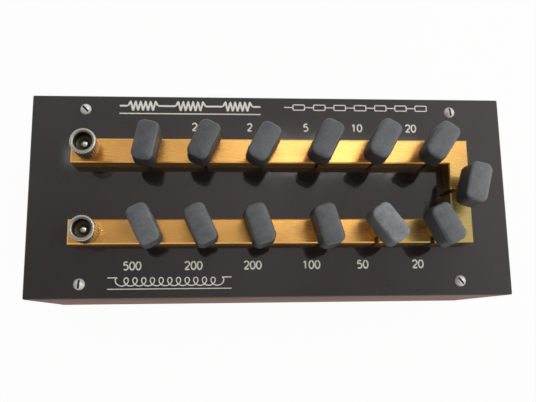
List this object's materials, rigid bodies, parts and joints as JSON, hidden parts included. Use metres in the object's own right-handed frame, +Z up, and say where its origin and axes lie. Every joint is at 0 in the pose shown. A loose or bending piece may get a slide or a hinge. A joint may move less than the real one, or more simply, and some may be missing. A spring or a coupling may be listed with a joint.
{
  "type": "plug resistance box",
  "caption": "Wooden laboratory resistance box with a black panel, brass contact blocks bridged by lift-out tapered plugs, and screw terminals at one end.",
  "frame": {"origin": "centre of the underside of the bottom board", "axes": "+X along the rows away from the terminals, +Y towards the back row, +Z up"},
  "size_m": [0.2554, 0.1084, 0.1275],
  "materials": {
    "wood": "varnished hardwood",
    "panel": "polished black ebonite sheet",
    "brass": "polished brass bar",
    "pin_brass": "turned brass",
    "head": "moulded black bakelite",
    "nickel": "nickel-plated turned brass",
    "steel": "bright steel screws",
    "reel": "turned boxwood reels",
    "winding": "silk-covered resistance wire",
    "lead": "coil ends"
  },
  "bodies": {
    "box": {"bottom_board": "wood", "front_wall": "wood", "back_wall": "wood", "left_wall": "wood", "right_wall": "wood", "base_screws": "steel", "top_panel": "panel", "panel_screws": "steel", "block_screws": "brass", "back_block_1": "brass", "back_block_2": "brass", "back_block_3": "brass", "back_block_4": "brass", "back_block_5": "brass", "back_block_6": "brass", "back_block_7": "brass", "front_block_1": "brass", "front_block_2": "brass", "front_block_3": "brass", "front_block_4": "brass", "front_block_5": "brass", "front_block_6": "brass", "front_block_7": "brass", "coil_bobbins": "reel", "coil_windings": "winding", "bobbin_screws": "steel", "lead_wires": "lead"},
    "back_plug_1": {"back_plug_head_1": "head", "back_plug_pin_1": "pin_brass"},
    "back_plug_2": {"back_plug_head_2": "head", "back_plug_pin_2": "pin_brass"},
    "back_plug_3": {"back_plug_head_3": "head", "back_plug_pin_3": "pin_brass"},
    "back_plug_4": {"back_plug_head_4": "head", "back_plug_pin_4": "pin_brass"},
    "back_plug_5": {"back_plug_head_5": "head", "back_plug_pin_5": "pin_brass"},
    "back_plug_6": {"back_plug_head_6": "head", "back_plug_pin_6": "pin_brass"},
    "front_plug_1": {"front_plug_head_1": "head", "front_plug_pin_1": "pin_brass"},
    "front_plug_2": {"front_plug_head_2": "head", "front_plug_pin_2": "pin_brass"},
    "front_plug_3": {"front_plug_head_3": "head", "front_plug_pin_3": "pin_brass"},
    "front_plug_4": {"front_plug_head_4": "head", "front_plug_pin_4": "pin_brass"},
    "front_plug_5": {"front_plug_head_5": "head", "front_plug_pin_5": "pin_brass"},
    "front_plug_6": {"front_plug_head_6": "head", "front_plug_pin_6": "pin_brass"},
    "infinity_plug": {"infinity_plug_head": "head", "infinity_plug_pin": "pin_brass"},
    "back_clamp": {"back_terminal_washer": "nickel"},
    "back_terminal": {"back_terminal_head": "nickel", "back_terminal_stem": "nickel"},
    "front_clamp": {"front_terminal_washer": "nickel"},
    "front_terminal": {"front_terminal_head": "nickel", "front_terminal_stem": "nickel"}
  },
  "joints": [
    {"name": "back_plug_1_lift", "type": "slide", "parent": "box", "child": "back_plug_1", "axis": [0, 0, 1], "range_m": [0, 0.03]},
    {"name": "back_plug_2_lift", "type": "slide", "parent": "box", "child": "back_plug_2", "axis": [0, 0, 1], "range_m": [0, 0.03]},
    {"name": "back_plug_3_lift", "type": "slide", "parent": "box", "child": "back_plug_3", "axis": [0, 0, 1], "range_m": [0, 0.03]},
    {"name": "back_plug_4_lift", "type": "slide", "parent": "box", "child": "back_plug_4", "axis": [0, 0, 1], "range_m": [0, 0.03]},
    {"name": "back_plug_5_lift", "type": "slide", "parent": "box", "child": "back_plug_5", "axis": [0, 0, 1], "range_m": [0, 0.03]},
    {"name": "back_plug_6_lift", "type": "slide", "parent": "box", "child": "back_plug_6", "axis": [0, 0, 1], "range_m": [0, 0.03]},
    {"name": "front_plug_1_lift", "type": "slide", "parent": "box", "child": "front_plug_1", "axis": [0, 0, 1], "range_m": [0, 0.03]},
    {"name": "front_plug_2_lift", "type": "slide", "parent": "box", "child": "front_plug_2", "axis": [0, 0, 1], "range_m": [0, 0.03]},
    {"name": "front_plug_3_lift", "type": "slide", "parent": "box", "child": "front_plug_3", "axis": [0, 0, 1], "range_m": [0, 0.03]},
    {"name": "front_plug_4_lift", "type": "slide", "parent": "box", "child": "front_plug_4", "axis": [0, 0, 1], "range_m": [0, 0.03]},
    {"name": "front_plug_5_lift", "type": "slide", "parent": "box", "child": "front_plug_5", "axis": [0, 0, 1], "range_m": [0, 0.03]},
    {"name": "front_plug_6_lift", "type": "slide", "parent": "box", "child": "front_plug_6", "axis": [0, 0, 1], "range_m": [0, 0.03]},
    {"name": "infinity_plug_lift", "type": "slide", "parent": "box", "child": "infinity_plug", "axis": [0, 0, 1], "range_m": [0, 0.03]},
    {"name": "back_clamp_lift", "type": "slide", "parent": "box", "child": "back_clamp", "axis": [0, 0, 1], "range_m": [-0.00476, 0.00556]},
    {"name": "back_terminal_turn", "type": "hinge", "parent": "back_clamp", "child": "back_terminal", "pos_m": [-0.09465, 0.0211, 0.101], "axis": [0, 0, 1], "range_deg": [-2142, 2502]},
    {"name": "front_clamp_lift", "type": "slide", "parent": "box", "child": "front_clamp", "axis": [0, 0, 1], "range_m": [0, 0.01036]},
    {"name": "front_terminal_turn", "type": "hinge", "parent": "front_clamp", "child": "front_terminal", "pos_m": [-0.09465, -0.0211, 0.101], "axis": [0, 0, 1], "range_deg": [0, 4662]}
  ],
  "couplings": [
    {"joint": "back_clamp_lift", "follows": "back_terminal_turn", "m_per_rad": 0.00012732},
    {"joint": "front_clamp_lift", "follows": "front_terminal_turn", "m_per_rad": 0.00012732}
  ]
}
